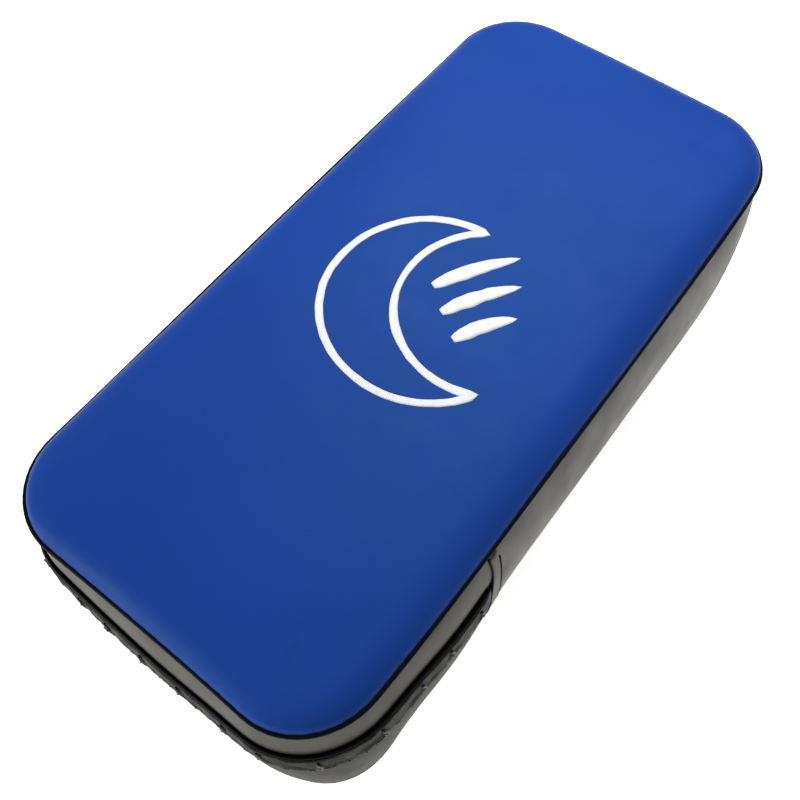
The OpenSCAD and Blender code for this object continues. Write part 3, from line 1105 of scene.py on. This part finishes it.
def make_emblem(face):
    """A plain outlined crescent with three brush dashes, printed in white."""
    graph = bpy.context.evaluated_depsgraph_get()
    surface = BVHTree.FromObject(face, graph)

    def line(share, side):
        a = 2 * pi * share
        way = Vector((cos(a), sin(a), 3.0 * side))
        return MARK_LINE * (0.5 + 0.18 * noise.noise(way * 2.2) + 0.06 * noise.noise(way * 11))

    def dash(seed, base):
        def width(share, side):
            swell = sin(pi * min(1, share * 1.04 + 0.03)) ** 0.42
            rough = 1 + 0.16 * noise_at(share * 7, side * 2.0, seed)
            return base * 0.5 * swell * rough * (1.15 - 0.4 * share)
        return width

    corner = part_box("face_emblem")[0]
    x0, y0 = corner.x + MARK_R, corner.y + MARK_R
    moon = moon_outline(MARK_R, (23 * MM, 14 * MM), MARK_OPEN_R, MARK_LINE / 2)
    moon = [(x0 + x, y0 + y) for x, y in moon]
    parts = [ink("moon", moon, line, surface, 0.16 * MM, True)]
    turn = radians(58)
    for x, y, length, seed in ((-3, 12, 36, 2.0), (8, 3, 32, 6.0), (20, -5, 24, 9.0)):
        path = []
        for k in range(25):
            t = k / 24
            run = (-3 + (length + 6) * t) * MM
            bow = 1.6 * MM * sin(pi * t)
            path.append((x0 + x * MM + run * cos(turn) - bow * sin(turn),
                         y0 + y * MM + run * sin(turn) + bow * cos(turn)))
        parts.append(ink("dash", path, dash(seed, 7 * MM), surface, 0.16 * MM))
    emblem = join("printed_mark", parts)
    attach(emblem, "root")
    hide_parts("face_emblem")


# ---- webbing, patches and stitches ----

def smooth_path(corners, step=2.0 * MM):
    """Points along a Catmull-Rom curve through corners (x, z)."""
    pts = [Vector(c) for c in corners]
    pts = [pts[0] * 2 - pts[1]] + pts + [pts[-1] * 2 - pts[-2]]
    out = []
    for i in range(1, len(pts) - 2):
        a, b, c, d = pts[i - 1:i + 3]
        count = max(1, ceil((c - b).length / step))
        for k in range(count):
            t = k / count
            out.append(0.5 * ((2 * b) + (c - a) * t + (2 * a - 5 * b + 4 * c - d) * t ** 2
                              + (3 * b - a - 3 * c + d) * t ** 3))
    out.append(pts[-2])
    return out


def strap(name, path, y, width, thick, round_end=0.0):
    """Flat webbing along a path of (x, z) points, with thicker woven edges."""
    runs = [0.0]
    for a, b in zip(path, path[1:]):
        runs.append(runs[-1] + (b - a).length)
    total = runs[-1]
    across = [-1, -0.985, -0.95, -0.90, -0.6, -0.2, 0.2, 0.6, 0.90, 0.95, 0.985, 1]
    bulk = [0.25, 0.75, 0.98, 0.86, 0.92, 0.92, 0.92, 0.92, 0.86, 0.98, 0.75, 0.25]
    sections = []
    for i, p in enumerate(path):
        ahead = ahead_at(path, i)
        normal = Vector((-ahead.y, ahead.x))
        half = width / 2
        left = total - runs[i]
        if round_end and left < round_end:
            half -= round_end - sqrt(max(0, round_end ** 2 - (round_end - left) ** 2))
        wave = 0.10 * MM * sin(runs[i] * 900)
        upper, lower = [], []
        for s, b in zip(across, bulk):
            reach = s * (half + (wave if abs(s) > 0.97 else 0))
            off = normal * (thick / 2 * b)
            upper.append(Vector((p.x + off.x, y + reach, p.y + off.y)))
            lower.append(Vector((p.x - off.x, y + reach, p.y - off.y)))
        sections.append(upper + lower[::-1])
    spread = across + across[::-1]
    return loft(name, sections, WEAVE, uv=lambda i, j: (runs[i], spread[j] * width / 2))


def rounded_plan(x0, x1, y, width, r):
    points = []
    for cx, cy, start in ((x1 - r, y + width / 2 - r, 0), (x0 + r, y + width / 2 - r, 90),
                          (x0 + r, y - width / 2 + r, 180), (x1 - r, y - width / 2 + r, 270)):
        for k in range(7):
            a = radians(start + 15 * k)
            points.append((cx + r * cos(a), cy + r * sin(a)))
    return points


def patch(name, x0, x1, y, width, z0, z1, r, material):
    """A sewn patch: a thin slab with rounded corners and softened edges."""
    middle = Vector(((x0 + x1) / 2, y))
    sections = []
    for inset, share in ((0.6, 0.0), (0.12, 0.12), (0.0, 0.4), (0.0, 0.6), (0.12, 0.88), (0.6, 1.0)):
        ring = []
        for px, py in rounded_plan(x0, x1, y, width, r):
            p = Vector((px, py))
            p += (middle - p).normalized() * inset * MM
            ring.append(Vector((p.x, p.y, z0 + (z1 - z0) * share)))
        sections.append(ring)
    return loft(name, sections, material)


# one stitch, from end to end: share of its length, rise and size, both in thread radii
STITCH_PROFILE = ((0, -0.6, 0.5), (0.15, 0.15, 0.9), (0.5, 0.45, 1.0), (0.85, 0.15, 0.9),
                  (1, -0.6, 0.5))


def stitches(lines, normal, radius=0.38 * MM, length=2.7 * MM, gap=1.1 * MM):
    """Raised thread stitches along straight lines, as one mesh."""
    points, faces = [], []
    normal = Vector(normal)
    for a, b in lines:
        a, b = Vector(a), Vector(b)
        ahead = (b - a).normalized()
        side = ahead.cross(normal)
        count = max(1, round((b - a).length / (length + gap)))
        pitch = (b - a).length / count
        for i in range(count):
            start = a + ahead * (pitch * i + gap / 2)
            faces += skin_faces(len(STITCH_PROFILE), 6, len(points))
            for share, lift, size in STITCH_PROFILE:
                spot = start + ahead * (share * (pitch - gap)) + normal * (lift * radius)
                r = radius * size
                points.extend(spot + side * (r * c) + normal * (r * s) for c, s in circle(6))
    obj = mesh_from("stitches", points, faces, THREAD)
    fix_normals(obj)
    return obj


def box_stitch(x0, x1, y, width, z, cross=True):
    """Stitch lines of a box, with a cross inside it."""
    low, high = y - width / 2, y + width / 2
    a, b, c, d = (x0, low, z), (x1, low, z), (x1, high, z), (x0, high, z)
    lines = [(a, b), (b, c), (c, d), (d, a)]
    if cross:
        lines += [(a, c), (b, d)]
    return lines


# ---- forearm straps ----

def node_patch(name, node, corner, material, low=0.0, high=0.0):
    """A patch of its node's size, its lower and upper face shifted by low and high."""
    lo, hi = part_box(node)
    y, width = (lo.y + hi.y) / 2, hi.y - lo.y
    return patch(name, lo.x, hi.x, y, width, lo.z + low, hi.z + high, corner, material)


def node_stitches(node, margin_x, margin_y, z, normal, cross=False, **thread):
    """A box of stitches inside a node's outline."""
    lo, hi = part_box(node)
    y, width = (lo.y + hi.y) / 2, hi.y - lo.y - 2 * margin_y
    lines = box_stitch(lo.x + margin_x, hi.x - margin_x, y, width, z, cross)
    return stitches(lines, normal, **thread)


def sewn_patch(node, corner, material, margin_x, margin_y, cross, **thread):
    """A patch of its node's size, with stitches on its underside."""
    piece = node_patch(node + "_sewn", node, corner, material)
    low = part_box(node)[0].z
    sewn = node_stitches(node, margin_x, margin_y, low, DOWN, cross, **thread)
    return join(node + "_sewn", [piece, sewn])


DOWN, UP = (0, 0, -1), (0, 0, 1)
STRAP_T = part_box("upper_strap_tongue")[1].z
ROOT_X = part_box("upper_strap_riser")[0].x + STRAP_T / 2      # where a strap leaves the seam
ROOT_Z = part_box("upper_strap_riser")[1].z - STRAP_T / 2
BEND_X = -56 * MM                                            # where it turns under the arm
TONGUE_Z = STRAP_T / 2
WEB_T = 2.7 * MM
TAPE_MARGIN = 1.8 * MM
TAPE_THREAD_R = 0.3 * MM
FLAP_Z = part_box("upper_strap_stub")[0].z + STRAP_T / 2


def slope(low, last):
    """Path points from a strap's seam down to just before its bend."""
    points = [(ROOT_X - 0.9 * MM, ROOT_Z + 1.4 * MM)]
    for share in (0, 0.2, 0.5, 0.8, last):
        points.append((ROOT_X + (BEND_X - ROOT_X) * share, ROOT_Z + (low - ROOT_Z) * share))
    return points


def make_strap_set(which):
    """One forearm strap: its sewn ends, the long band with hook tape and the flap with loop tape."""
    tongue_lo, tongue_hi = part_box(which + "_strap_tongue")
    y = (tongue_lo.y + tongue_hi.y) / 2
    width = tongue_hi.y - tongue_lo.y

    for side in ("left", "right"):
        node = f"{which}_anchor_{side}"
        piece = sewn_patch(node, 3 * MM, WEAVE, 2.4 * MM, 2.5 * MM, True)
        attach(piece, "root")
        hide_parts(node)

    path = smooth_path(slope(TONGUE_Z, 0.93) + [
        (BEND_X + 1.8 * MM, TONGUE_Z + 0.5 * MM), (BEND_X + 6.5 * MM, TONGUE_Z),
        (-30 * MM, TONGUE_Z), (0, TONGUE_Z), (25 * MM, TONGUE_Z), (tongue_hi.x, TONGUE_Z)])
    band = strap(which + "_strap", path, y, width, WEB_T, 10 * MM)
    sewn = node_stitches(which + "_hook_patch", TAPE_MARGIN, TAPE_MARGIN, 0.42 * MM, DOWN,
                         radius=TAPE_THREAD_R)
    band = join(which + "_strap", [band, sewn])
    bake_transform(band)
    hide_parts(which + "_strap_riser", which + "_strap_tongue")

    hook = node_patch(which + "_hook_tape", which + "_hook_patch", 3 * MM, HOOK, low=-0.1 * MM)
    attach(hook, which + "_tongue")
    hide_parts(which + "_hook_patch")

    corners = slope(FLAP_Z, 0.94) + [
        (BEND_X + 2.5 * MM, FLAP_Z + 0.4 * MM), (BEND_X + 9 * MM, FLAP_Z), (-20 * MM, FLAP_Z),
        (-5 * MM, FLAP_Z), (-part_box(which + "_strap_stub")[0].x, FLAP_Z)]
    path = smooth_path([(-x, z) for x, z in corners])
    flap = strap(which + "_flap", path, y, width, WEB_T, 10 * MM)
    sewn = node_stitches(which + "_loop_patch", TAPE_MARGIN, TAPE_MARGIN,
                         FLAP_Z + WEB_T / 2 * 0.92, UP, radius=TAPE_THREAD_R)
    flap = join(which + "_flap", [flap, sewn])
    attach(flap, which + "_stub")
    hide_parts(which + "_strap_stub")

    pile = node_patch(which + "_loop_tape", which + "_loop_patch", 3 * MM, LOOP_TAPE,
                      high=0.15 * MM)
    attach(pile, which + "_stub")
    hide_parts(which + "_loop_patch")


# ---- hand grip ----

def make_grip():
    """A padded sleeve gathered at its ends, round a rolled core."""
    lo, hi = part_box("handle_grip")
    y, z = (lo.y + hi.y) / 2, (lo.z + hi.z) / 2
    r = (hi.z - lo.z) / 2
    half = hi.x
    core_r = (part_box("handle_core")[1].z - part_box("handle_core")[0].z) / 2
    bore = core_r + 0.25 * MM
    profile = [(-half + 2.2 * MM, 0.3 * bore), (-half + 0.9 * MM, 0.7 * bore),
               (-half + 0.3 * MM, bore + 0.6 * MM),
               (-half, bore + 1.8 * MM), (-half + 0.4 * MM, r - 2.2 * MM),
               (-half + 1.6 * MM, r - 0.9 * MM), (-half + 3.2 * MM, r - 0.35 * MM)]
    steps = 46
    for k in range(steps + 1):
        t = k / steps
        x = -half + 5 * MM + (2 * half - 10 * MM) * t
        profile.append((x, r - 0.25 * MM - 0.5 * MM * (2 * t - 1) ** 4))
    profile += [(-px, pr) for px, pr in profile[6::-1]]
    inside = [(half - 4 * MM, bore), (0, bore), (-half + 4 * MM, bore)]
    sides = 48
    sections = []
    for px, pr in profile + inside:
        gather = smoothstep(half - 13 * MM, half - 2 * MM, abs(px))
        ring = []
        for k in range(sides):
            a = 2 * pi * k / sides
            seam = exp(-((a - 1.5 * pi) / 0.10) ** 2)
            fold = gather * (0.32 * sin(13 * a) + 0.2 * sin(29 * a + 1)) * MM
            rumple = 0.30 * MM * noise_at(px * 45, cos(a) * 1.4, sin(a) * 1.4)
            grow = 0 if pr <= bore + 0.1 * MM else fold + rumple - 0.55 * MM * seam
            rr = min(pr + grow, r + 0.1 * MM)
            ring.append(Vector((px, y + rr * cos(a), z + rr * sin(a))))
        sections.append(ring)
    sleeve = loft("grip_sleeve", sections, GRIP, closed=True)
    under = z - r + 0.55 * MM
    sewn = stitches([((-half + 4 * MM, y, under), (half - 4 * MM, y, under))], DOWN)
    sleeve = join("grip_sleeve", [sleeve, sewn])
    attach(sleeve, "grip")
    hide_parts("handle_grip")

    sections = []
    end = half - 5 * MM
    for px, pr in ((-end + 0.4 * MM, 0.55), (-end, 0.85), (-end + 0.4 * MM, 1.0),
                   (-half / 3, 1.0), (half / 3, 1.0), (end - 0.4 * MM, 1.0),
                   (end, 0.85), (end - 0.4 * MM, 0.55)):
        rr = core_r * pr
        sections.append([Vector((px, y + rr * c, z + rr * s)) for c, s in circle(32)])
    core = loft("grip_core", sections, SOFT_FOAM)
    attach(core, "grip")
    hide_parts("handle_core")
    return y, z, half


# the webbing of the grip on its way up to the back and under its patch (x, z, in mm)
WEB_TURN = ((66, 30.5), (73, 39.4), (78.5, 45.3), (82.8, 48.9), (84.8, 51.4), (82.8, 53.0),
            (79, 53.1), (67, 53.1))


def make_handle():
    """The grip, the webbing at its two ends and the patches that hold the webbing."""
    y, z, half = make_grip()
    for side, label in ((1, "right"), (-1, "left")):
        web_node = "handle_web_" + label
        web_lo, web_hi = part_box(web_node)
        width = web_hi.y - web_lo.y
        corners = [(half - 1.5 * MM, z), (half + 1.6 * MM, z + 0.2 * MM), (57.5 * MM, z + 5.2 * MM)]
        corners += [(px * MM, pz * MM) for px, pz in WEB_TURN]
        path = [Vector((side * p.x, p.y)) for p in smooth_path(corners, 1.6 * MM)]
        web = strap(web_node + "_sewn", path, y, width, 2.4 * MM)
        lines = box_stitch(side * 68.5 * MM, side * 79 * MM, y, width - 4 * MM, 51.85 * MM)
        web = join(web_node + "_sewn", [web, stitches(lines, DOWN, radius=0.32 * MM)])
        fix_normals(web)
        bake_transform(web)
        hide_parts(web_node)

        node = "handle_patch_" + label
        piece = sewn_patch(node, 4 * MM, BLACK, 2 * MM, 2 * MM, False, radius=0.32 * MM)
        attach(piece, "root")
        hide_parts(node)


# ---- assembly ----

cover = make_cover()
make_foam()
make_piping("face_piping_cord", 0, SEAM_Z, 1.15 * MM, "face_piping")
make_piping("back_piping_cord", BACK_OUT - 0.5 * MM, BACK_SEAM_Z, 1.0 * MM, "back_piping")
make_hem()
make_lace()
make_tab("tab_right", 1, "closure_tab_right")
make_tab("tab_left", -1, "closure_tab_left")
make_emblem(cover["face_cover"])
make_strap_set("upper")
make_strap_set("lower")
make_handle()
